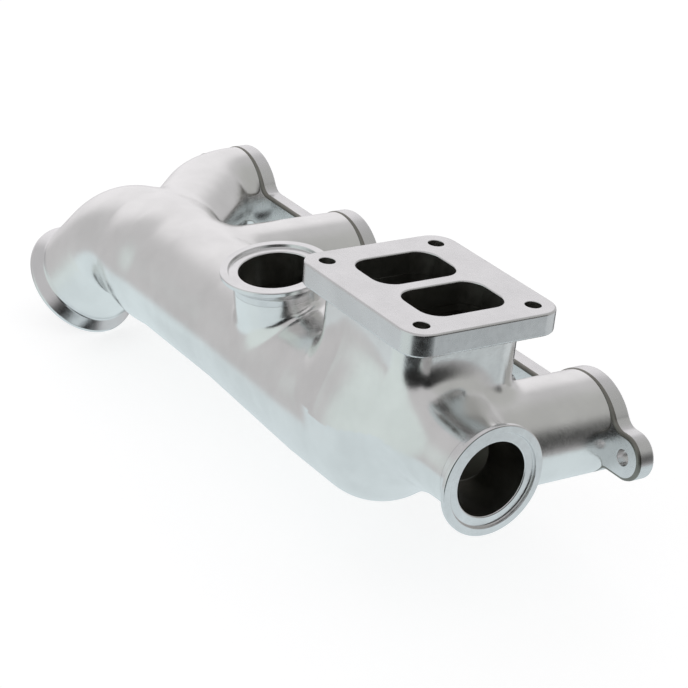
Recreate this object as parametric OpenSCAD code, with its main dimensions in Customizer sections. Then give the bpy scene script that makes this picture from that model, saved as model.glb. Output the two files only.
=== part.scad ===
// Log-type exhaust manifold for a row of four ports, with a divided turbo flange,
// two wastegate outlets and a crossover inlet at the far end.
// Origin: centre of the turbo flange's top face. +Z: out of that face. +X: along the
// row of ports, towards the near end. +Y: towards the cylinder head.

/* [Turbo flange] */
// Plate length along X
turbo_plate_x = 110; // [104:1:120]
// Plate width along Y
turbo_plate_y = 95; // [92:1:104]
// Plate thickness
turbo_plate_t = 13; // [10:0.5:16]
// Radius of the plate's corners
turbo_corner_r = 13; // [8:0.5:16]
// Stud spacing along X
turbo_stud_x = 85.7; // [84:0.1:87]
// Stud spacing along Y
turbo_stud_y = 69.9; // [69:0.1:71]
// Stud hole diameter
turbo_stud_d = 8.8; // [8:0.1:11]
// Window length along X
window_x = 34; // [30:0.5:35]
// Window width along Y
window_y = 51; // [46:0.5:54]
// Radius of the windows' corners
window_r = 11; // [6:0.5:14]
// Wall between the two windows
divider_t = 8; // [6:0.5:9]

/* [Head flange] */
// Distance between neighbouring ports
port_pitch = 118; // [114:0.5:120]
// X of the port nearest the near end
port_4_x = 38; // [36:1:42]
// Z of the bolt row and of the pads' centres
flange_z = -81.5; // [-83:0.5:-80]
// Z of the ports' centres
port_z = -78; // [-79:0.5:-77]
// Y of the flange face that the runners leave
head_face_y = 82.5; // [80:0.5:88]
// Plate thickness
head_plate_t = 11; // [10:0.5:13]
// Radius of the round pad over each port
pad_r = 32; // [31:0.5:34]
// Height of the strip that joins the pads
strip_h = 26; // [24:1:30]
// Distance from port 4 to the bolt at the near end
near_ear_reach = 38; // [37.5:0.5:42]
// Distance from port 1 to the bolt at the far end
far_ear_reach = 43; // [40:0.5:46]
// Bolt hole diameter
head_bolt_d = 9; // [8.4:0.1:10]

/* [Tubes] */
// Y of the log tube's axis
log_y = -15; // [-17:0.5:-13]
// Z of the log tube's axis
log_z = -81.5; // [-84:0.5:-80]
// Outer radius of the log tube
log_r = 37.5; // [37:0.1:39]
// Outer radius of the collector barrel
collector_r = 41; // [40:0.1:42]
// Outer radius of the port runners
runner_r = 28.3; // [27:0.1:29]
// Wall thickness of all tubes
wall = 4.4; // [3.5:0.1:5]

/* [Wastegate outlets] */
// Radius of the V-band flanges
gate_flange_r = 30.5; // [30:0.1:32]
// Outer radius of the outlet pipes
gate_pipe_r = 24; // [23.5:0.1:25]
// Bore radius
gate_bore_r = 20.5; // [19:0.1:21]
// Forward tilt of the top outlet, in degrees
top_gate_tilt = 10; // [8:0.5:12]

/* [Crossover inlet] */
// Radius of the V-band flange
inlet_flange_r = 37.1; // [36.5:0.1:38]
// Outer radius of the pipe at the flange
inlet_pipe_r = 32; // [31:0.1:33]
// Bend of the elbow, in degrees
elbow_bend = 50; // [48:0.5:52]
// Radius of the elbow's centre line
elbow_bend_r = 45; // [42:1:50]
// Outer radius of the elbow's tube
elbow_r = 34; // [33:0.1:35]
// Straight run from the elbow to the flange's face
inlet_run = 39; // [36:1:44]

/* [Hidden] */
$fn = 96;
over = 1;
// Smallest step left where two curves would otherwise only graze each other
edge = 0.1;

port_x = [for (i = [0:3]) port_4_x - (3 - i) * port_pitch];
log_bore_r = log_r - wall;
collector_bore_r = collector_r - wall;
elbow_bore_r = elbow_r - wall;
inlet_bore_r = inlet_pipe_r - wall;
runner_bore_r = runner_r - wall;
window_centre = (window_x + divider_t) / 2;
// Bores in the flanges, a hair wider than the pipes behind them
port_r = runner_bore_r + 0.3;

// Bolts in the head flange: one beyond each outer port and one in each gap
ear_x = [port_x[0] - far_ear_reach, port_x[3] + near_ear_reach];
bolt_x = [each ear_x, for (i = [0:2]) (port_x[i] + port_x[i + 1]) / 2];

// Joints between the lengths of the log tube
log_start_x = -246;
// The elbow starts here, after the reducer
elbow_x = -259.4;
log_joint_1_x = -139;
log_joint_2_x = -48;
// The collector's round end: a ball of the barrel's own radius
ball_x = -6;
// Y where the near runner opens into the collector's side lobe
lobe_y = 6;

// Turbo riser
riser_x = 86;
riser_y_front = -41;
riser_y_back = 36;
riser_r = 16;
riser_bottom_z = -62;
lip_depth = 5;
passage_y_back = 27;
// Below this height the passages narrow towards the log
throat_z = -45;
throat_y_back = 14;

// Centres of the outlet faces
top_gate = [-93, -33, -24];
side_gate = [94, -18, -65.5];

// How far each outlet's pipe reaches in from its face
top_gate_depth = 60;
side_gate_depth = 85;

// The elbow turns down and a little outwards, in one plane
elbow_lean = 15.2;

// First runner: a bend that brings the outermost port onto the log
bend_1_r = 48;
bend_1_angle = 45;
branch_1_run = 85;

// V-band flange profile
vband_rim = 2.5;
vband_taper = 4.5;
vband_hub = 12;
vband_step = 1.8;
vband_register = 0.84;

// ---------- shared shapes ----------

module rounded_rect(x, y, r) {
    union() {
        square([x - 2 * r, y], center = true);
        square([x, y - 2 * r], center = true);
        for (sx = [-1, 1], sy = [-1, 1])
            translate([sx * (x / 2 - r), sy * (y / 2 - r)]) circle(r);
    }
}

// Lays a drawing made in X and Z flat against a plane that faces +Y
module facing_y(y, t) {
    translate([0, y + t, 0]) rotate([90, 0, 0]) linear_extrude(t) children();
}

module along_x(x0, x1, r) {
    translate([x0, log_y, log_z]) rotate([0, 90, 0]) cylinder(r = r, h = x1 - x0);
}

module at_top_gate() { translate(top_gate) rotate([top_gate_tilt, 0, 0]) children(); }
module at_side_gate() { translate(side_gate) rotate([0, 90, 0]) children(); }

module at_elbow() {
    translate([elbow_x, log_y, log_z]) rotate([-elbow_lean, 0, 0]) children();
}
module elbow_arc(r) {
    at_elbow() translate([0, 0, -elbow_bend_r]) rotate([90, 0, 0])
        rotate([0, 0, 90]) rotate_extrude(angle = elbow_bend) translate([elbow_bend_r, 0]) circle(r);
}
// Local +Z leaves the elbow's end along the inlet pipe
module at_elbow_end() {
    at_elbow() translate([0, 0, -elbow_bend_r]) rotate([0, -elbow_bend, 0])
        translate([0, 0, elbow_bend_r]) rotate([0, -90, 0]) children();
}

// Straight runner from the head flange in to y_end
module runner_rod(x, r, y_end) {
    translate([x, head_face_y, port_z]) rotate([90, 0, 0]) cylinder(r = r, h = head_face_y - y_end);
}
// The first runner bends towards the near end, then runs straight into the log
module bend_1(r) {
    translate([port_x[0] + bend_1_r, head_face_y, port_z]) rotate([0, 0, 180])
        rotate_extrude(angle = bend_1_angle) translate([bend_1_r, 0]) circle(r);
}
module branch_1(r) {
    translate([port_x[0] + bend_1_r, head_face_y, port_z]) rotate([0, 0, bend_1_angle])
        translate([-bend_1_r, 0, 0]) rotate([90, 0, 0]) cylinder(r = r, h = branch_1_run);
}

module riser_block(z_top, z_bottom) {
    translate([0, (riser_y_front + riser_y_back) / 2, z_bottom])
        linear_extrude(z_top - z_bottom)
            rounded_rect(riser_x, riser_y_back - riser_y_front, riser_r);
}
// One exhaust passage under each of the turbo flange's windows, with a step at the throat
module passage_box(y_back, z_top, z_bottom) {
    y_front = riser_y_front + wall;
    for (s = [-1, 1]) translate([s * window_centre, (y_front + y_back) / 2, z_bottom])
        linear_extrude(z_top - z_bottom) rounded_rect(window_x, y_back - y_front, window_r);
}
module riser_passages() {
    passage_box(passage_y_back, -turbo_plate_t - lip_depth, throat_z);
    passage_box(throat_y_back, throat_z + over, log_z);
}
module windows(z_top, z_bottom) {
    for (s = [-1, 1]) translate([s * window_centre, 0, z_bottom])
        linear_extrude(z_top - z_bottom) rounded_rect(window_x, window_y, window_r);
}

// Half ball, open towards +Y, that turns the near runner into the collector
module side_lobe(r) {
    translate([port_4_x, lobe_y, port_z]) rotate([90, 0, 0])
        rotate_extrude() intersection() {
            circle(r);
            square(r);
        }
}
module collector_solid(r_barrel, r_lobe, x_start) {
    along_x(x_start, ball_x, r_barrel);
    translate([ball_x, log_y, log_z]) sphere(r_barrel);
    side_lobe(r_lobe);
}
// The second length of log widens towards the collector
module log_cone(r_small, r_large) {
    translate([log_joint_1_x, log_y, log_z]) rotate([0, 90, 0])
        cylinder(r1 = r_small, r2 = r_large, h = log_joint_2_x - log_joint_1_x);
}

module top_gate_bore() {
    at_top_gate() translate([0, 0, -top_gate_depth - over])
        cylinder(r = gate_bore_r, h = top_gate_depth + 2 * over);
}
module side_gate_bore() {
    at_side_gate() translate([0, 0, -side_gate_depth - over])
        cylinder(r = gate_bore_r, h = side_gate_depth + 2 * over);
}

// Face at z = 0, facing +Z; the hub runs down to -vband_hub
module vband(flange_r, pipe_r, bore_r) {
    step_r = flange_r * vband_register;
    rotate_extrude() polygon([
        [bore_r, -vband_step], [step_r, -vband_step], [step_r + 0.6, 0], [flange_r - 0.5, 0],
        [flange_r, -0.5], [flange_r, -vband_rim], [pipe_r + 1, -vband_rim - vband_taper],
        [pipe_r, -vband_rim - vband_taper - 1], [pipe_r, -vband_hub], [bore_r, -vband_hub]]);
}

// ---------- head flange and runners ----------

// Blend of radius r between the strip and a round pad whose centre is drop below the strip's
module pad_fillet(r, pad, drop = 0) {
    top = strip_h / 2 + r;
    dx = sqrt(pow(pad + r, 2) - pow(top + drop, 2));
    difference() {
        polygon([[0, -drop], [dx, -drop], [dx, top]]);
        translate([dx, top]) circle(r - edge);
    }
}

// The pads are round about the bolt row above the strip, and follow the runners below it
module head_outline() {
    web_r = 9;
    rise = port_z - flange_z;
    translate([ear_x[0], -strip_h / 2]) square([ear_x[1] - ear_x[0], strip_h]);
    for (x = ear_x) translate([x, 0]) circle(strip_h / 2);
    for (x = port_x) translate([x, 0]) {
        intersection() {
            circle(pad_r);
            translate([-pad_r, 0]) square([2 * pad_r, pad_r]);
        }
        translate([0, rise]) circle(runner_r);
        for (mx = [0, 1]) mirror([mx, 0]) {
            pad_fillet(web_r, pad_r);
            mirror([0, 1]) pad_fillet(web_r, runner_r, rise);
        }
    }
}
module head_flange() {
    color("gainsboro") difference() {
        facing_y(head_face_y, head_plate_t) translate([0, flange_z]) head_outline();
        for (x = port_x) translate([x, head_face_y - over, port_z])
            rotate([-90, 0, 0]) cylinder(r = port_r, h = head_plate_t + 2 * over);
        for (x = bolt_x) translate([x, head_face_y - over, flange_z])
            rotate([-90, 0, 0]) cylinder(d = head_bolt_d, h = head_plate_t + 2 * over);
    }
}

module straight_runner(i) {
    color("silver") difference() {
        runner_rod(port_x[i], runner_r, log_y);
        runner_rod(port_x[i], runner_bore_r, log_y - over);
        children();
    }
}

module runner_1_bend() {
    color("silver") difference() {
        bend_1(runner_r);
        bend_1(runner_bore_r);
    }
}
module runner_1_branch() {
    color("silver") difference() {
        branch_1(runner_r);
        branch_1(runner_bore_r);
        along_x(log_start_x, log_joint_1_x, log_r);
        reducer_cone(log_r, elbow_r, 4);
        elbow_arc(elbow_r - edge);
    }
}
module runner_2() { straight_runner(1) along_x(log_start_x, log_joint_1_x, log_r); }
module runner_3() { straight_runner(2) log_cone(log_r, collector_r); }
// The near runner ends at the collector's side lobe
module runner_4() {
    color("silver") difference() {
        runner_rod(port_x[3], runner_r, lobe_y);
        runner_rod(port_x[3], runner_bore_r, lobe_y - over);
        along_x(log_joint_2_x, ball_x, collector_r);
        translate([ball_x, log_y, log_z]) sphere(collector_r);
    }
}

// ---------- log, elbow and collector ----------

module log_section_1() {
    color("silver") difference() {
        along_x(log_start_x, log_joint_1_x, log_r);
        along_x(log_start_x - over, log_joint_1_x + over, log_bore_r);
        runner_rod(port_x[1], runner_bore_r, log_y);
        branch_1(runner_bore_r);
    }
}

module log_section_2() {
    color("silver") difference() {
        log_cone(log_r, collector_r);
        log_cone(log_bore_r, collector_bore_r);
        runner_rod(port_x[2], runner_bore_r, log_y);
        top_gate_bore();
    }
}

module collector() {
    color("silver") difference() {
        collector_solid(collector_r, runner_r, log_joint_2_x);
        collector_solid(collector_bore_r, runner_bore_r, log_joint_2_x - over);
        runner_rod(port_x[3], runner_bore_r, lobe_y);
        riser_passages();
        side_gate_bore();
    }
}

// Cone from the log down to the elbow; past carries it on into the elbow
module reducer_cone(r_log, r_elbow, past = 0) {
    h = log_start_x - elbow_x;
    translate([elbow_x - past, log_y, log_z]) rotate([0, 90, 0])
        cylinder(r1 = r_elbow - past * (r_log - r_elbow) / h, r2 = r_log, h = h + past);
}
module crossover_reducer() {
    color("silver") difference() {
        reducer_cone(log_r, elbow_r);
        reducer_cone(log_bore_r, elbow_bore_r);
        branch_1(runner_bore_r);
    }
}

module crossover_elbow() {
    color("silver") difference() {
        elbow_arc(elbow_r);
        elbow_arc(elbow_bore_r);
        branch_1(runner_bore_r);
    }
}

// Tapers from the elbow to the inlet flange's hub
module crossover_pipe() {
    h = inlet_run - vband_hub;
    color("silver") at_elbow_end() difference() {
        cylinder(r1 = elbow_r, r2 = inlet_pipe_r, h = h);
        cylinder(r1 = elbow_bore_r, r2 = inlet_bore_r, h = h);
    }
}

module crossover_vband_flange() {
    color("lightgray") at_elbow_end() translate([0, 0, inlet_run])
        vband(inlet_flange_r, inlet_pipe_r, inlet_bore_r + 0.3);
}

// ---------- turbo riser and flange ----------

module riser_shell() {
    color("silver") difference() {
        riser_block(-turbo_plate_t, riser_bottom_z);
        riser_passages();
        windows(-turbo_plate_t + over, -turbo_plate_t - lip_depth - over);
        along_x(log_joint_2_x, ball_x, collector_r);
        translate([ball_x, log_y, log_z]) sphere(collector_r);
        side_lobe(runner_r);
        runner_rod(port_x[3], runner_r, lobe_y);
        side_gate_bore();
    }
}

// Wall that keeps the two passages apart down to the log
module scroll_divider() {
    y_front = riser_y_front + wall;
    color("silver") difference() {
        translate([-divider_t / 2, y_front, throat_z])
            cube([divider_t, passage_y_back - y_front, -turbo_plate_t - lip_depth - throat_z]);
        translate([ball_x, log_y, log_z]) sphere(collector_r);
    }
}

module turbo_flange() {
    color("gainsboro") difference() {
        translate([0, 0, -turbo_plate_t]) linear_extrude(turbo_plate_t)
            rounded_rect(turbo_plate_x, turbo_plate_y, turbo_corner_r);
        windows(over, -turbo_plate_t - over);
        for (sx = [-1, 1], sy = [-1, 1])
            translate([sx * turbo_stud_x / 2, sy * turbo_stud_y / 2, -turbo_plate_t - over])
                cylinder(d = turbo_stud_d, h = turbo_plate_t + 2 * over);
    }
}

// ---------- wastegate outlets ----------

module top_gate_pipe() {
    color("silver") difference() {
        at_top_gate() translate([0, 0, -top_gate_depth])
            cylinder(r = gate_pipe_r, h = top_gate_depth - vband_hub);
        top_gate_bore();
        log_cone(log_r, collector_r);
    }
}
module top_gate_vband_flange() {
    color("lightgray") at_top_gate() vband(gate_flange_r, gate_pipe_r, gate_bore_r + 0.3);
}

module side_gate_pipe() {
    color("silver") difference() {
        at_side_gate() translate([0, 0, -side_gate_depth])
            cylinder(r = gate_pipe_r, h = side_gate_depth - vband_hub);
        side_gate_bore();
        translate([ball_x, log_y, log_z]) sphere(collector_r);
        side_lobe(runner_r);
        riser_block(-turbo_plate_t, riser_bottom_z);
        runner_rod(port_x[3], runner_r, lobe_y);
    }
}
module side_gate_vband_flange() {
    color("lightgray") at_side_gate() vband(gate_flange_r, gate_pipe_r, gate_bore_r + 0.3);
}

head_flange();
runner_1_bend();
runner_1_branch();
runner_2();
runner_3();
runner_4();
log_section_1();
log_section_2();
collector();
crossover_reducer();
crossover_elbow();
crossover_pipe();
crossover_vband_flange();
riser_shell();
scroll_divider();
turbo_flange();
top_gate_pipe();
top_gate_vband_flange();
side_gate_pipe();
side_gate_vband_flange();
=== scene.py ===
import math

import bmesh
import bpy
import numpy as np
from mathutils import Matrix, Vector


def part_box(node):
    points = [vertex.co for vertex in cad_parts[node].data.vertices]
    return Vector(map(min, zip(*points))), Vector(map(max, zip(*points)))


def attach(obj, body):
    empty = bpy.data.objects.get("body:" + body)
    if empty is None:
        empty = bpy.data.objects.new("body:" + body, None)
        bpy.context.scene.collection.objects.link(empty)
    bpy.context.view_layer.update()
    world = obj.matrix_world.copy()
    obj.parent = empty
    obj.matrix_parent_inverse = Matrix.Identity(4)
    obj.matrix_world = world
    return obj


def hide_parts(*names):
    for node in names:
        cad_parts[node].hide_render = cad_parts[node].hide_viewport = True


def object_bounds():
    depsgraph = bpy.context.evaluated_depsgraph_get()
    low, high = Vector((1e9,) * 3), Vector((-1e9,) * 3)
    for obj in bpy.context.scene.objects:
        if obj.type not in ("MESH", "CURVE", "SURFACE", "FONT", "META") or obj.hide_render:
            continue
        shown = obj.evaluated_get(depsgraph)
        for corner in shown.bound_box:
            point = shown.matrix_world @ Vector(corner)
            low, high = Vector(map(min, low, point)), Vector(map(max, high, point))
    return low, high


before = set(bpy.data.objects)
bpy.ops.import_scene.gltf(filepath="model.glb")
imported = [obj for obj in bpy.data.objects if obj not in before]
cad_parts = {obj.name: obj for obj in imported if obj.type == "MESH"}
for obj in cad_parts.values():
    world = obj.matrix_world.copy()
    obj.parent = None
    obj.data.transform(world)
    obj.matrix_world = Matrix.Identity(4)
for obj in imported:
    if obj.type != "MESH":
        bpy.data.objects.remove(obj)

import openvdb
from mathutils import Matrix, Vector

cad_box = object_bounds()
MM = 0.001

# ---------- sizes, in millimetres, taken from the CAD frame ----------


def box_mm(node):
    lo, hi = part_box(node)
    return np.array(lo) / MM, np.array(hi) / MM


def middle(node):
    lo, hi = box_mm(node)
    return (lo + hi) / 2


def size(node):
    lo, hi = box_mm(node)
    return hi - lo


WALL = 4.4
LOG_R = size("log_section_1")[2] / 2
LOG_Y, LOG_Z = middle("log_section_1")[1:]
LOG_X0 = box_mm("log_section_1")[0][0]
JOINT_1_X = box_mm("log_section_1")[1][0]
JOINT_2_X = box_mm("log_section_2")[1][0]
BARREL_R = size("collector")[2] / 2
BALL_X = -6.0
# The riser is split from the barrel at SPLIT_Z, and the side outlet from it at SIDE_SPLIT_X
SPLIT_Z = LOG_Z + 33
SIDE_SPLIT_X = 60.0
RUNNER_R = size("runner_2")[2] / 2
PORT_Z = middle("runner_2")[2]
HEAD_Y0, HEAD_Y1 = box_mm("head_flange")[0][1], box_mm("head_flange")[1][1]
PORT_X = [box_mm("runner_1_bend")[0][0] + RUNNER_R] + [
    middle(f"runner_{i}")[0] for i in (2, 3, 4)
]
LOBE_Y = 6.0

PLATE_T = size("turbo_flange")[2]
RISER_LO, RISER_HI = box_mm("riser_shell")
RISER_CORNER = 16.0
LIP_Z = -PLATE_T - 5.0
WINDOW = (34.0, 51.0, 11.0)
DIVIDER_T = size("scroll_divider")[0]
WINDOW_X = (WINDOW[0] + DIVIDER_T) / 2
PASSAGE_Y = (RISER_LO[1] + WALL, 27.0)

GATE_R, GATE_BORE, GATE_HUB = 24.0, 20.5, 12.0
TILT = math.radians(10)
TOP_GATE = np.array([-93.0, -33.0, -24.0])
TOP_AXIS = np.array([0.0, -math.sin(TILT), math.cos(TILT)])
SIDE_FLANGE = "side_gate_vband_flange"
SIDE_GATE = np.array([box_mm(SIDE_FLANGE)[1][0], *middle(SIDE_FLANGE)[1:]])

# The crossover: straight from the log, a bend down and out, then straight to its flange
ELBOW_X = box_mm("crossover_reducer")[0][0]
ELBOW_BEND_R, ELBOW_ANGLE, ELBOW_LEAN = 45.0, math.radians(50), math.radians(15.2)
ELBOW_R, INLET_R, INLET_RUN = 34.0, 32.0, 39.0
INLET_FLANGE_R = 37.1
REDUCER_RUN = 25.0
LOG_FAR_X = ELBOW_X + 22

# The first runner: a bend, then a straight branch into the log
BEND_R, BEND_ANGLE = 48.0, math.radians(45)
BEND_END = np.array([
    PORT_X[0] + BEND_R * (1 - math.cos(BEND_ANGLE)),
    HEAD_Y0 - BEND_R * math.sin(BEND_ANGLE),
    PORT_Z,
])
BRANCH_DIR = np.array([math.sin(BEND_ANGLE), -math.cos(BEND_ANGLE), 0.0])

# Fillets outside: crossover, runners, runner 4's lobe, side outlet, top outlet
CROSSOVER_FILLET, RUNNER_FILLET, LOBE_FILLET, SIDE_FILLET, TOP_FILLET = 5, 8, 12, 20, 5
# The riser's fillet at its back, and how much wider it is in front
RISER_FILLET, RISER_FLOW = 8, 20
# Fillets inside: runners and riser, then the wastegate outlets
BORE_FILLET, GATE_FILLET = 6, 5

# ---------- distance fields: negative inside, in millimetres ----------


def blend(a, b, k):
    """Smooth union of two fields with a fillet about k wide."""
    h = np.clip(0.5 + 0.5 * (b - a) / k, 0, 1)
    return b + (a - b) * h - k * h * (1 - h)


def rod(p, a, b, r):
    """Round-ended rod from a to b; r is one radius or a pair."""
    a, b = np.asarray(a, float), np.asarray(b, float)
    ab = b - a
    t = np.clip((p - a) @ ab / (ab @ ab), 0, 1)
    d = np.linalg.norm(p - a - t[:, None] * ab, axis=1)
    return d - (r if np.isscalar(r) else r[0] + (r[1] - r[0]) * t)


def arc_rod(p, centre, e1, e2, bend_r, angle, r):
    """Rod along an arc that starts at centre + bend_r e1 and turns towards e2."""
    q = p - centre
    u, v, w = q @ e1, q @ e2, q @ np.cross(e1, e2)
    phi = np.clip(np.arctan2(v, u), 0, angle)
    d = np.sqrt((u - bend_r * np.cos(phi)) ** 2 + (v - bend_r * np.sin(phi)) ** 2 + w**2)
    return d - (r if np.isscalar(r) else r[0] + (r[1] - r[0]) * phi / angle)


def round_box(p, lo, hi, r):
    """Upright rounded rectangle between lo and hi, without top or bottom."""
    c, h = (np.array(lo[:2]) + hi[:2]) / 2, (np.array(hi[:2]) - lo[:2]) / 2
    q = np.abs(p[:, :2] - c) - (h - r)
    return np.linalg.norm(np.maximum(q, 0), axis=1) + np.minimum(q.max(axis=1), 0) - r


LEAN = np.array([0.0, -math.sin(ELBOW_LEAN), -math.cos(ELBOW_LEAN)])
ELBOW_START = np.array([ELBOW_X, LOG_Y, LOG_Z])
ELBOW_CENTRE = ELBOW_START + ELBOW_BEND_R * LEAN
INLET_AXIS = -math.cos(ELBOW_ANGLE) * np.array([1.0, 0, 0]) + math.sin(ELBOW_ANGLE) * LEAN
ELBOW_END = (
    ELBOW_CENTRE
    - ELBOW_BEND_R * math.cos(ELBOW_ANGLE) * LEAN
    - ELBOW_BEND_R * math.sin(ELBOW_ANGLE) * np.array([1.0, 0, 0])
)
INLET_FACE = ELBOW_END + INLET_RUN * INLET_AXIS


def crossover(p, log_r, elbow_r, pipe_r):
    start = ELBOW_START + [REDUCER_RUN, 0, 0]
    mid_r = (elbow_r + log_r) / 2
    d = rod(p, start, ELBOW_START, (log_r, mid_r))
    d = np.minimum(d, arc_rod(p, ELBOW_CENTRE, -LEAN, np.array([-1.0, 0, 0]),
                              ELBOW_BEND_R, ELBOW_ANGLE, (mid_r, elbow_r)))
    return np.minimum(d, rod(p, ELBOW_END, INLET_FACE + 6 * INLET_AXIS, (elbow_r, pipe_r)))


def log_tube(p, r_log, r_barrel):
    x = np.clip(p[:, 0], LOG_FAR_X, BALL_X)
    r = r_log + (r_barrel - r_log) * np.clip((x - JOINT_1_X) / (JOINT_2_X - JOINT_1_X), 0, 1)
    return np.sqrt((p[:, 0] - x) ** 2 + (p[:, 1] - LOG_Y) ** 2 + (p[:, 2] - LOG_Z) ** 2) - r


def runner_1(p, r):
    d = arc_rod(p, np.array([PORT_X[0] + BEND_R, HEAD_Y0, PORT_Z]), np.array([-1.0, 0, 0]),
                np.array([0, -1.0, 0]), BEND_R, BEND_ANGLE, r)
    d = np.minimum(d, rod(p, BEND_END, BEND_END + 75 * BRANCH_DIR, r))
    return np.minimum(d, rod(p, (PORT_X[0], HEAD_Y0, PORT_Z), (PORT_X[0], HEAD_Y1, PORT_Z), r))


def runner(p, x, r, y_end):
    return rod(p, (x, HEAD_Y1, PORT_Z), (x, y_end, PORT_Z), r)


def outer(p):
    body = blend(log_tube(p, LOG_R, BARREL_R), crossover(p, LOG_R, ELBOW_R, INLET_R),
                 CROSSOVER_FILLET)
    body = blend(body, runner_1(p, RUNNER_R), RUNNER_FILLET)
    body = blend(body, runner(p, PORT_X[1], RUNNER_R, LOG_Y), RUNNER_FILLET)
    body = blend(body, runner(p, PORT_X[2], RUNNER_R, LOG_Y), RUNNER_FILLET)
    body = blend(body, runner(p, PORT_X[3], RUNNER_R, LOBE_Y), LOBE_FILLET)
    riser = round_box(p, RISER_LO, RISER_HI, RISER_CORNER)
    riser = np.maximum(riser, RISER_LO[2] + 6 - p[:, 2])
    # The riser flows into the barrel in front, and meets it more sharply everywhere else
    flow = np.clip((p[:, 0] + 43) / 30, 0, 1) * np.clip((10 - p[:, 1]) / 40, 0, 1)
    body = blend(body, riser, RISER_FILLET + RISER_FLOW * flow)
    side = rod(p, SIDE_GATE + [2, 0, 0], SIDE_GATE - [80, 0, 0], GATE_R)
    body = blend(body, side, SIDE_FILLET)
    top = rod(p, TOP_GATE + 2 * TOP_AXIS, TOP_GATE - 45 * TOP_AXIS, GATE_R)
    return blend(body, top, TOP_FILLET)


def inner(p):
    body = np.minimum(log_tube(p, LOG_R - WALL, BARREL_R - WALL),
                      crossover(p, LOG_R - WALL, ELBOW_R - WALL, INLET_R - WALL))
    bore = RUNNER_R - WALL
    body = blend(body, runner_1(p, bore), BORE_FILLET)
    for x, y_end in ((PORT_X[1], LOG_Y), (PORT_X[2], LOG_Y), (PORT_X[3], LOBE_Y)):
        body = blend(body, runner(p, x, bore, y_end), BORE_FILLET)
    side = rod(p, SIDE_GATE + [4, 0, 0], SIDE_GATE - [80, 0, 0], GATE_BORE)
    body = blend(body, side, GATE_FILLET)
    top = rod(p, TOP_GATE + 4 * TOP_AXIS, TOP_GATE - 50 * TOP_AXIS, GATE_BORE)
    body = blend(body, top, GATE_FILLET)
    chamber = round_box(p, (-WINDOW_X - WINDOW[0] / 2, PASSAGE_Y[0]),
                        (WINDOW_X + WINDOW[0] / 2, PASSAGE_Y[1]), WINDOW[2])
    chamber = np.maximum(np.maximum(chamber, p[:, 2] - LIP_Z), LOG_Z - p[:, 2])
    body = blend(body, chamber, BORE_FILLET)
    for s in (-1, 1):
        lo = (s * WINDOW_X - WINDOW[0] / 2, -WINDOW[1] / 2)
        hi = (s * WINDOW_X + WINDOW[0] / 2, WINDOW[1] / 2)
        window = np.maximum(round_box(p, lo, hi, WINDOW[2]), LIP_Z - 2 - p[:, 2])
        body = np.minimum(body, window)
    return body


def shell(p):
    return np.maximum(outer(p), -inner(p))


def gradient(field, p, step=0.05):
    g = np.empty_like(p)
    for i in range(3):
        d = np.zeros(3)
        d[i] = step
        g[:, i] = field(p + d) - field(p - d)
    return g / np.maximum(np.linalg.norm(g, axis=1, keepdims=True), 1e-9)


def skin_mesh(voxel):
    """The whole casting as points and quads, each point moved onto the exact surface."""
    lo = np.array([-352.0, -68.0, -152.0])
    hi = np.array([92.0, HEAD_Y1 + 1, -8.0])
    n = np.ceil((hi - lo) / voxel).astype(int)
    axes = [lo[i] + voxel * np.arange(n[i]) for i in range(3)]
    values = np.empty(n, np.float32)
    for i, x in enumerate(axes[0]):
        y, z = np.meshgrid(axes[1], axes[2], indexing="ij")
        p = np.stack([np.full(y.size, x), y.ravel(), z.ravel()], axis=1)
        values[i] = shell(p).reshape(y.shape)
    grid = openvdb.FloatGrid(background=3 * voxel)
    grid.copyFromArray(np.clip(values, -3 * voxel, 3 * voxel))
    grid.transform = openvdb.createLinearTransform(voxelSize=voxel)
    points, quads = grid.convertToQuads(isovalue=0.0)
    points = points.astype(float) + lo
    for _ in range(3):
        d = shell(points)
        points -= np.clip(d, -voxel, voxel)[:, None] * gradient(shell, points)
    return points, quads[:, ::-1]


# ---------- mesh helpers ----------


def add_object(name, mesh, materials, nodes, matrix=None):
    obj = bpy.data.objects.new(name, mesh)
    bpy.context.collection.objects.link(obj)
    if matrix is not None:
        obj.matrix_world = matrix
    for material in materials:
        mesh.materials.append(material)
    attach(obj, "root")
    if nodes:
        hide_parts(*nodes)
    return obj


def cut_plane(bm, point, normal):
    """Keeps the half of bm behind the plane, and closes the cut."""
    geom = bm.verts[:] + bm.edges[:] + bm.faces[:]
    cut = bmesh.ops.bisect_plane(bm, geom=geom, plane_co=point, plane_no=normal,
                                 clear_outer=True, dist=1e-7)
    edges = [e for e in cut["geom_cut"] if isinstance(e, bmesh.types.BMEdge)]
    edges = [e for e in edges if len(e.link_faces) == 1]
    if edges:
        filled = bmesh.ops.triangle_fill(bm, edges=edges, use_beauty=False, normal=normal)
        for f in filled["geom"]:
            if isinstance(f, bmesh.types.BMFace):
                f.material_index = 1


def cast_piece(name, bm, *nodes):
    """A closed length of the casting, shaded by the exact surface's own direction."""
    bmesh.ops.triangulate(bm, faces=[f for f in bm.faces if len(f.verts) > 4])
    bmesh.ops.recalc_face_normals(bm, faces=bm.faces[:])
    mesh = bpy.data.meshes.new(name)
    bm.to_mesh(mesh)
    points = np.empty(len(mesh.vertices) * 3)
    mesh.vertices.foreach_get("co", points)
    points = points.reshape(-1, 3) / MM
    smooth = gradient(shell, points)
    in_bore = np.abs(inner(points)) < np.abs(outer(points))
    loop_vert = np.empty(len(mesh.loops), int)
    mesh.loops.foreach_get("vertex_index", loop_vert)
    normals = smooth[loop_vert]
    for f in mesh.polygons:
        if f.material_index == 1:
            normals[f.loop_start:f.loop_start + f.loop_total] = f.normal
        f.material_index = int(in_bore[list(f.vertices)].all())
        f.use_smooth = True
    mesh.normals_split_custom_set([tuple(n) for n in normals])
    return add_object(name, mesh, (cast, dark_steel_and_edge_shade), nodes)


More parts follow.
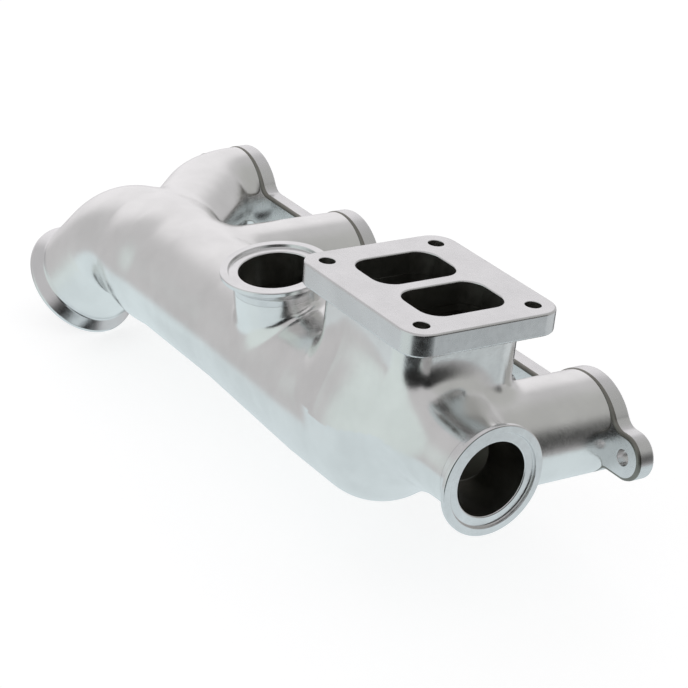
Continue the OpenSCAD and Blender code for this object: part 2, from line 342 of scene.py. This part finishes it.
def loop_of(profile, inset):
    """Points and outward directions of a closed outline, moved inwards by inset."""
    points, out = profile
    return points - inset * out, out


def rounded_rect(x, y, r, n=10, hole=False):
    points, out = [], []
    for cx, cy, a0 in ((1, 1, 0), (-1, 1, 90), (-1, -1, 180), (1, -1, 270)):
        for a in np.radians(np.linspace(a0, a0 + 90, n)):
            d = np.array([math.cos(a), math.sin(a)])
            points.append(np.array([cx * (x / 2 - r), cy * (y / 2 - r)]) + r * d)
            out.append(d)
    out = np.array(out)
    return np.array(points), -out if hole else out


def circle(x, y, r, n=40, hole=True):
    a = np.linspace(0, 2 * math.pi, n, endpoint=False)
    out = np.stack([np.cos(a), np.sin(a)], axis=1)
    return np.array([x, y]) + r * out, -out if hole else out


def moved(profile, x, y):
    return profile[0] + [x, y], profile[1]


def plate(name, outlines, z0, z1, nodes, matrix=None):
    """A flat plate between z0 and z1. outlines are (profile, radius of the edge at z0, and at z1,
    material of the wall, and of the edge at z1); the first is the rim."""
    bm = bmesh.new()
    normals = []
    caps = {0: [], 1: []}
    steps = 4
    for profile, r0, r1, wall, edge in outlines:
        rings = []
        rows = [(z0, r0, 1, a) for a in np.linspace(90, 0, steps)]
        rows += [(z1, r1, -1, a) for a in np.linspace(0, 90, steps)]
        for z, r, up, a in rows:
            a = math.radians(a)
            pts, out = loop_of(profile, r * (1 - math.cos(a)))
            zz = z + up * r * (1 - math.sin(a))
            ring = []
            for (px, py), (ox, oy) in zip(pts, out):
                ring.append(bm.verts.new((px * MM, py * MM, zz * MM)))
                normals.append((ox * math.cos(a), oy * math.cos(a), -up * math.sin(a)))
            rings.append(ring)
        for k, (a, b) in enumerate(zip(rings, rings[1:])):
            for i in range(len(a)):
                j = (i + 1) % len(a)
                face = bm.faces.new((a[i], a[j], b[j], b[i]))
                face.material_index = edge if k >= steps else wall
        caps[0].append(rings[0])
        caps[1].append(rings[-1])
    for side, z in ((0, -1), (1, 1)):
        edges = []
        for ring in caps[side]:
            for i in range(len(ring)):
                edges.append(bm.edges.get((ring[i], ring[(i + 1) % len(ring)])))
        bmesh.ops.triangle_fill(bm, edges=edges, use_beauty=True, normal=(0, 0, z))
    bmesh.ops.recalc_face_normals(bm, faces=bm.faces[:])
    mesh = bpy.data.meshes.new(name)
    bm.to_mesh(mesh)
    mesh.polygons.foreach_set("use_smooth", [True] * len(mesh.polygons))
    mesh.normals_split_custom_set_from_vertices(normals)
    return add_object(name, mesh, (plate_steel, dark_steel_and_edge_shade), nodes, matrix)


CORNER_STEPS = 5


def turned(name, corners, segments, nodes, matrix):
    """A ring turned about its own Z. corners are (radius, z, corner radius), in order round it.
    The wall from the last to the first is its bore; it and the first corner are dark."""
    pts, nrm = [], []
    count = len(corners)
    for i in range(count):
        p0, p1, p2 = (np.array(corners[(i + k) % count][:2], float) for k in (-1, 0, 1))
        r = corners[i][2]
        u, v = p0 - p1, p2 - p1
        u, v = u / np.linalg.norm(u), v / np.linalg.norm(v)
        n0, n1 = np.array([-u[1], u[0]]), np.array([v[1], -v[0]])
        half = math.acos(np.clip(u @ v, -1, 1)) / 2
        t = r / math.tan(half)
        start, end = p1 + t * u, p1 + t * v
        turn = math.pi - 2 * half
        side = np.sign(n0[0] * n1[1] - n0[1] * n1[0]) or 1
        centre = start - side * n0 * r
        for k in range(CORNER_STEPS):
            a = side * turn * k / (CORNER_STEPS - 1)
            d = np.array([n0[0] * math.cos(a) - n0[1] * math.sin(a),
                          n0[0] * math.sin(a) + n0[1] * math.cos(a)])
            pts.append(centre + side * r * d)
            nrm.append(d)
    bm = bmesh.new()
    normals, rings = [], []
    for s in range(segments):
        a = 2 * math.pi * s / segments
        c, si = math.cos(a), math.sin(a)
        rings.append([bm.verts.new((r * c * MM, r * si * MM, z * MM)) for r, z in pts])
        normals += [(d[0] * c, d[0] * si, d[1]) for d in nrm]
    for s in range(segments):
        a, b = rings[s], rings[(s + 1) % segments]
        for i in range(len(pts)):
            j = (i + 1) % len(pts)
            face = bm.faces.new((a[i], b[i], b[j], a[j]))
            face.material_index = int(j < CORNER_STEPS)
    bmesh.ops.recalc_face_normals(bm, faces=bm.faces[:])
    mesh = bpy.data.meshes.new(name)
    bm.to_mesh(mesh)
    mesh.polygons.foreach_set("use_smooth", [True] * len(mesh.polygons))
    mesh.normals_split_custom_set_from_vertices(normals)
    return add_object(name, mesh, (turned_steel, dark_steel_and_edge_shade), nodes, matrix)


# ---------- materials ----------


def metal(name, colour, roughness, grain_mm, grain_depth, waves_mm, wave_depth, rings=0.0):
    """Bare steel: two tones of colour, patchy gloss, fine grain over a long soft unevenness."""
    mat = bpy.data.materials.new(name)
    mat.use_nodes = True
    tree = mat.node_tree
    nodes, links = tree.nodes, tree.links
    shader = nodes["Principled BSDF"]
    shader.inputs["Metallic"].default_value = 1.0
    coords = nodes.new("ShaderNodeTexCoord")

    def noise(size_mm, detail):
        n = nodes.new("ShaderNodeTexNoise")
        n.inputs["Scale"].default_value = 1 / (size_mm * MM)
        n.inputs["Detail"].default_value = detail
        links.new(coords.outputs["Object"], n.inputs["Vector"])
        return n.outputs["Fac"]

    def ramp(value, stops):
        r = nodes.new("ShaderNodeValToRGB")
        for element, (pos, c) in zip(r.color_ramp.elements, stops):
            element.position, element.color = pos, (*c, 1)
        links.new(value, r.inputs["Fac"])
        return r.outputs["Color"]

    patch = noise(22, 4)
    darker = tuple(0.93 * c for c in colour)
    links.new(ramp(patch, ((0.35, darker), (0.65, colour))), shader.inputs["Base Color"])
    gloss = nodes.new("ShaderNodeMapRange")
    gloss.inputs["From Min"].default_value = 0.3
    gloss.inputs["From Max"].default_value = 0.7
    gloss.inputs["To Min"].default_value = roughness * 0.85
    gloss.inputs["To Max"].default_value = roughness * 1.2
    links.new(noise(3.5, 5), gloss.inputs["Value"])
    links.new(gloss.outputs["Result"], shader.inputs["Roughness"])
    layers = [(noise(waves_mm, 2), wave_depth), (noise(grain_mm, 3), grain_depth)]
    if rings:
        wave = nodes.new("ShaderNodeTexWave")
        wave.wave_type = "RINGS"
        wave.rings_direction = "Z"
        wave.inputs["Scale"].default_value = 300
        wave.inputs["Distortion"].default_value = 0.6
        wave.inputs["Detail"].default_value = 3
        links.new(coords.outputs["Object"], wave.inputs["Vector"])
        layers.append((wave.outputs["Fac"], rings))
    last = None
    for value, depth in layers:
        bump = nodes.new("ShaderNodeBump")
        bump.inputs["Strength"].default_value = 1.0
        bump.inputs["Distance"].default_value = depth * MM
        links.new(value, bump.inputs["Height"])
        if last is not None:
            links.new(last, bump.inputs["Normal"])
        last = bump.outputs["Normal"]
    links.new(last, shader.inputs["Normal"])
    return mat


cast = metal("cast_steel", (0.83, 0.83, 0.82), 0.20, 1.0, 0.032, 14, 0.08)
plate_steel = metal("plate_steel", (0.74, 0.74, 0.74), 0.25, 3.0, 0.006, 18, 0.04)
turned_steel = metal("turned_steel", (0.80, 0.80, 0.80), 0.22, 2.0, 0.003, 12, 0.02, rings=0.0006)
# Dark steel for the bores, hole walls and scroll divider; on the head plate's runner-side edge the
# same colour is painted shade, standing in for the shadow of a groove
dark_steel_and_edge_shade = metal("dark_steel_and_edge_shade", (0.25, 0.245, 0.22), 0.40, 0.9, 0.030, 9, 0.08)

# ---------- the casting ----------

points, quads = skin_mesh(1.6)
whole = bmesh.new()
verts = [whole.verts.new(tuple(p * MM)) for p in points]
for q in quads:
    whole.faces.new([verts[i] for i in q])
whole.normal_update()


def half(bm, point, normal):
    """Splits bm at a plane into the part behind it and the part in front of it."""
    other = bm.copy()
    point = Vector(np.asarray(point, float) * MM)
    normal = Vector(normal)
    cut_plane(bm, point, normal)
    cut_plane(other, point, -normal)
    return bm, other


def keep(bm, point, normal):
    """Trims bm at a plane, keeping the part behind it."""
    cut_plane(bm, Vector(np.asarray(point, float) * MM), Vector(normal))
    return bm


X, Y, Z = (1, 0, 0), (0, 1, 0), (0, 0, 1)
# The open ends stop where the flanges begin
keep(whole, (0, HEAD_Y0, 0), Y)
keep(whole, (0, 0, -PLATE_T), Z)
keep(whole, SIDE_GATE - [GATE_HUB, 0, 0], X)

# Runners, split off just outside the log
rest, runners = half(whole, (0, LOG_Y + LOG_R + 4, 0), Y)
far, near = half(runners, ((PORT_X[2] + PORT_X[3]) / 2, 0, 0), X)
far, third = half(far, ((PORT_X[1] + PORT_X[2]) / 2, 0, 0), X)
first, second = half(far, ((PORT_X[0] + PORT_X[1]) / 2 + 20, 0, 0), X)
bend_1, branch_1 = half(first, BEND_END, BRANCH_DIR)
fourth, riser_back = half(near, (0, 0, SPLIT_Z), Z)

# The log from its crossover end to the side outlet
far_end, rest = half(rest, (LOG_X0, 0, 0), X)
inlet, far_end = half(far_end, ELBOW_END, -INLET_AXIS)
keep(inlet, INLET_FACE - GATE_HUB * INLET_AXIS, INLET_AXIS)
elbow, reducer = half(far_end, (ELBOW_X, 0, 0), X)
section_1, rest = half(rest, (JOINT_1_X, 0, 0), X)
section_2, rest = half(rest, (JOINT_2_X, 0, 0), X)
section_2, top_pipe = half(section_2, TOP_GATE - 27 * TOP_AXIS, TOP_AXIS)
keep(top_pipe, TOP_GATE - GATE_HUB * TOP_AXIS, TOP_AXIS)
collector, riser = half(rest, (0, 0, SPLIT_Z), Z)
collector, side_pipe = half(collector, (SIDE_SPLIT_X, 0, 0), X)

cast_piece("runner_1_bend_skin", bend_1, "runner_1_bend")
cast_piece("runner_1_branch_skin", branch_1, "runner_1_branch")
cast_piece("runner_2_skin", second, "runner_2")
cast_piece("runner_3_skin", third, "runner_3")
cast_piece("runner_4_skin", fourth, "runner_4")
cast_piece("log_section_1_skin", section_1, "log_section_1")
cast_piece("log_section_2_skin", section_2, "log_section_2")
cast_piece("collector_skin", collector, "collector")
cast_piece("crossover_reducer_skin", reducer, "crossover_reducer")
cast_piece("crossover_elbow_skin", elbow, "crossover_elbow")
cast_piece("crossover_pipe_skin", inlet, "crossover_pipe")
cast_piece("riser_skin", riser, "riser_shell")
cast_piece("riser_back_skin", riser_back)
cast_piece("top_gate_pipe_skin", top_pipe, "top_gate_pipe")
cast_piece("side_gate_pipe_skin", side_pipe, "side_gate_pipe")

# ---------- flanges ----------


def facing(axis, origin):
    """Frame with its own Z along axis and its origin there, in millimetres."""
    turn = Vector(axis).to_track_quat("Z", "Y").to_matrix().to_4x4()
    return Matrix.Translation(Vector(origin) * MM) @ turn


def vband(name, flange_r, pipe_r, bore_r, axis, origin, node):
    register = 0.84 * flange_r
    turned(name, [
        (bore_r, -GATE_HUB, 0.01), (pipe_r, -GATE_HUB, 0.2), (pipe_r, -8, 2.0),
        (flange_r, -2.5, 0.6), (flange_r, 0, 0.7), (register + 0.6, 0, 0.35),
        (register, -1.8, 0.3), (bore_r, -1.8, 0.8),
    ], 144, [node], facing(axis, origin))


gate_flange_r = size(SIDE_FLANGE)[2] / 2
vband("top_gate_ring", gate_flange_r, GATE_R, GATE_BORE - 0.05, TOP_AXIS, TOP_GATE,
      "top_gate_vband_flange")
vband("side_gate_ring", gate_flange_r, GATE_R, GATE_BORE - 0.05, X, SIDE_GATE,
      "side_gate_vband_flange")
vband("crossover_ring", INLET_FLANGE_R, INLET_R, INLET_R - WALL + 0.3, INLET_AXIS, INLET_FACE,
      "crossover_vband_flange")

PLATE_CORNER = 13.0
STUD_X, STUD_Y, STUD_R = 85.7, 69.9, 4.4
plate_size = size("turbo_flange")
studs = [circle(sx * STUD_X / 2, sy * STUD_Y / 2, STUD_R) for sx in (-1, 1) for sy in (-1, 1)]
windows = [moved(rounded_rect(*WINDOW, hole=True), s * WINDOW_X, 0) for s in (-1, 1)]
plate("turbo_plate",
      [(rounded_rect(plate_size[0], plate_size[1], PLATE_CORNER), 1.3, 1.3, 0, 0)]
      + [(w, 0.4, 0.9, 1, 0) for w in windows] + [(s, 0.4, 0.4, 1, 0) for s in studs],
      -PLATE_T, 0, ["turbo_flange"])


def head_outline(pads, ears, strip, web_r, above, below):
    """Strip with round ears and pads. above and below are each half's pad radius and the
    height of its centre."""
    points, out = [], []

    def arc(cx, cy, r, a0, a1, concave=False):
        n = max(3, int(abs(a1 - a0) / 5))
        for a in np.radians(np.linspace(a0, a1, n)):
            d = np.array([math.cos(a), math.sin(a)])
            point = np.array([cx, cy]) + r * d
            if not points or np.linalg.norm(point - points[-1]) > 0.01:
                points.append(point)
                out.append(-d if concave else d)

    def web(pad_r, drop):
        y = strip / 2 + web_r
        x = math.sqrt((pad_r + web_r) ** 2 - (y + drop) ** 2)
        return x, y, math.degrees(math.atan2(y + drop, x))

    arc(ears[1], 0, strip / 2, -90, 90)
    pad_r, centre = above
    dx, y, lean = web(pad_r, -centre)
    for x in reversed(pads):
        arc(x + dx, y, web_r, 270, 180 + lean, True)
        arc(x, centre, pad_r, lean, 180 - lean)
        arc(x - dx, y, web_r, -lean, -90, True)
    arc(ears[0], 0, strip / 2, 90, 270)
    pad_r, centre = below
    dx, y, lean = web(pad_r, centre)
    for x in pads:
        arc(x - dx, -y, web_r, 90, lean, True)
        arc(x, centre, pad_r, 180 + lean, 360 - lean)
        arc(x + dx, -y, web_r, 180 - lean, 90, True)
    return np.array(points), np.array(out)


STRIP_H, PAD_R, WEB_R, FLANGE_Z = 26.0, 32.0, 9.0, -81.5
BOLT_R = 4.5
ear_x = (box_mm("head_flange")[0][0] + STRIP_H / 2, box_mm("head_flange")[1][0] - STRIP_H / 2)
bolt_x = list(ear_x) + [(a + b) / 2 for a, b in zip(PORT_X, PORT_X[1:])]
outline = head_outline(PORT_X, ear_x, STRIP_H, WEB_R, (PAD_R, 0.0),
                       (RUNNER_R, PORT_Z - FLANGE_Z))
# The rim's rounded edge on the runner side (edge material 1) is painted shade: dark steel standing
# in for the shadow of a groove between the flange and the runners
plate("head_plate",
      [(moved(outline, 0, FLANGE_Z), 1.2, 2.0, 0, 1)]
      + [(circle(x, PORT_Z, RUNNER_R - WALL + 0.3, 72), 0.4, 0.4, 1, 1) for x in PORT_X]
      + [(circle(x, FLANGE_Z, BOLT_R), 0.4, 0.4, 0, 0) for x in bolt_x],
      -HEAD_Y1, -HEAD_Y0, ["head_flange"],
      Matrix.Rotation(math.pi / 2, 4, "X"))

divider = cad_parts["scroll_divider"]
divider.data.materials.clear()
divider.data.materials.append(dark_steel_and_edge_shade)

# ---------- floor, light and camera ----------

FLOOR_HALF, FLOOR_GAP = 9, 0.0015
floor_z = cad_box[0][2] - FLOOR_GAP
floor_mesh = bpy.data.meshes.new("floor")
floor_mesh.from_pydata(
    [(x * FLOOR_HALF, y * FLOOR_HALF, floor_z) for x, y in ((-1, -1), (1, -1), (1, 1), (-1, 1))],
    [], [(0, 1, 2, 3)])
floor = bpy.data.objects.new("floor", floor_mesh)
bpy.context.collection.objects.link(floor)
pale = bpy.data.materials.new("pale_floor")
pale.use_nodes = True
paint = pale.node_tree.nodes["Principled BSDF"]
paint.inputs["Base Color"].default_value = (0.5, 0.5, 0.5, 1)
paint.inputs["Roughness"].default_value = 0.9
paint.inputs["Emission Color"].default_value = (1, 1, 1, 1)
paint.inputs["Emission Strength"].default_value = 0.72
floor_mesh.materials.append(pale)
floor.visible_glossy = False

# What the metal sees of the floor close by: a lit card under the part, square to the camera's side
CARD_HALF_WIDTH, CARD_NEAR, CARD_FAR, CARD_HEADING = 0.20, 0.256, -0.20, 62
card_mesh = bpy.data.meshes.new("card")
card_mesh.from_pydata(
    [(x, y, 0) for x, y in ((-CARD_HALF_WIDTH, CARD_FAR), (CARD_HALF_WIDTH, CARD_FAR),
                            (CARD_HALF_WIDTH, CARD_NEAR), (-CARD_HALF_WIDTH, CARD_NEAR))],
    [], [(0, 1, 2, 3)])
card = bpy.data.objects.new("card", card_mesh)
bpy.context.collection.objects.link(card)
card.matrix_world = (Matrix.Translation((0, 0, floor_z - 0.001))
                     @ Matrix.Rotation(math.radians(CARD_HEADING - 180), 4, "Z"))
lit = bpy.data.materials.new("lit_card")
lit.use_nodes = True
lit_shader = lit.node_tree.nodes["Principled BSDF"]
lit_shader.inputs["Base Color"].default_value = (0, 0, 0, 1)
lit_shader.inputs["Specular IOR Level"].default_value = 0
lit_shader.inputs["Emission Color"].default_value = (0.72, 0.80, 0.83, 1)
lit_shader.inputs["Emission Strength"].default_value = 1
card_mesh.materials.append(lit)
card.visible_camera = False
card.visible_diffuse = False
card.visible_shadow = False

world = bpy.data.worlds.new("studio")
bpy.context.scene.world = world
world.use_nodes = True
wn, wl = world.node_tree.nodes, world.node_tree.links
background = wn["Background"]
direction = wn.new("ShaderNodeTexCoord").outputs["Generated"]


def heading(azimuth, elevation):
    """Unit direction at these angles in degrees; azimuth 0 is -Y and 90 is +X."""
    a, e = math.radians(azimuth), math.radians(elevation)
    return math.sin(a) * math.cos(e), -math.cos(a) * math.cos(e), math.sin(e)


def patch(below, azimuth, elevation, inner_deg, outer_deg, colour):
    """Paints a soft round patch of colour over the sky so far."""
    dot = wn.new("ShaderNodeVectorMath")
    dot.operation = "DOT_PRODUCT"
    dot.inputs[1].default_value = heading(azimuth, elevation)
    wl.new(direction, dot.inputs[0])
    fade = wn.new("ShaderNodeMapRange")
    fade.interpolation_type = "SMOOTHSTEP"
    fade.inputs["From Min"].default_value = math.cos(math.radians(outer_deg))
    fade.inputs["From Max"].default_value = math.cos(math.radians(inner_deg))
    wl.new(dot.outputs["Value"], fade.inputs["Value"])
    mix = wn.new("ShaderNodeMixRGB")
    mix.inputs["Color2"].default_value = (*colour, 1)
    wl.new(fade.outputs["Result"], mix.inputs["Fac"])
    if below is None:
        mix.inputs["Color1"].default_value = (0.60, 0.59, 0.60, 1)
    else:
        wl.new(below, mix.inputs["Color1"])
    return mix.outputs["Color"]


# A pale tent with a bright sweep underneath, a dark gap on the camera's side, and a small dark
# spot low beyond the crossover
sky = None
for spot in (
    (-110, 20, 18, 42, (0.94, 0.92, 0.94)),
    (150, 25, 25, 50, (0.50, 0.50, 0.49)),
    (0, -90, 62, 70, (0.76, 0.85, 0.88)),
    (-8, 2, 32, 42, (0.74, 0.81, 0.80)),
    (100, 2, 22, 43, (0.02, 0.02, 0.02)),
    (62, -20, 30, 46, (0.02, 0.02, 0.02)),
    (-147, -30, 12, 18, (0.05, 0.05, 0.05)),
):
    sky = patch(sky, *spot)
wl.new(sky, background.inputs["Color"])

SENSOR_MM, FOCAL_PX, IMAGE_PX = 36, 2327.8, 688
camera_data = bpy.data.cameras.new("camera")
camera_data.sensor_width = SENSOR_MM
camera_data.lens = SENSOR_MM * FOCAL_PX / IMAGE_PX
camera = bpy.data.objects.new("camera", camera_data)
right = Vector((0.54784, 0.83058, 0.10001))
up = Vector((-0.39718, 0.15302, 0.90490))
back = Vector((0.73629, -0.53546, 0.41372))
camera.matrix_world = Matrix.Translation((0.8706, -0.6827, 0.4625)) @ Matrix((
    (right.x, up.x, back.x, 0), (right.y, up.y, back.y, 0), (right.z, up.z, back.z, 0),
    (0, 0, 0, 1)))
camera_data.clip_end = 50
bpy.context.collection.objects.link(camera)
bpy.context.scene.camera = camera
bpy.context.scene.view_settings.view_transform = "Standard"
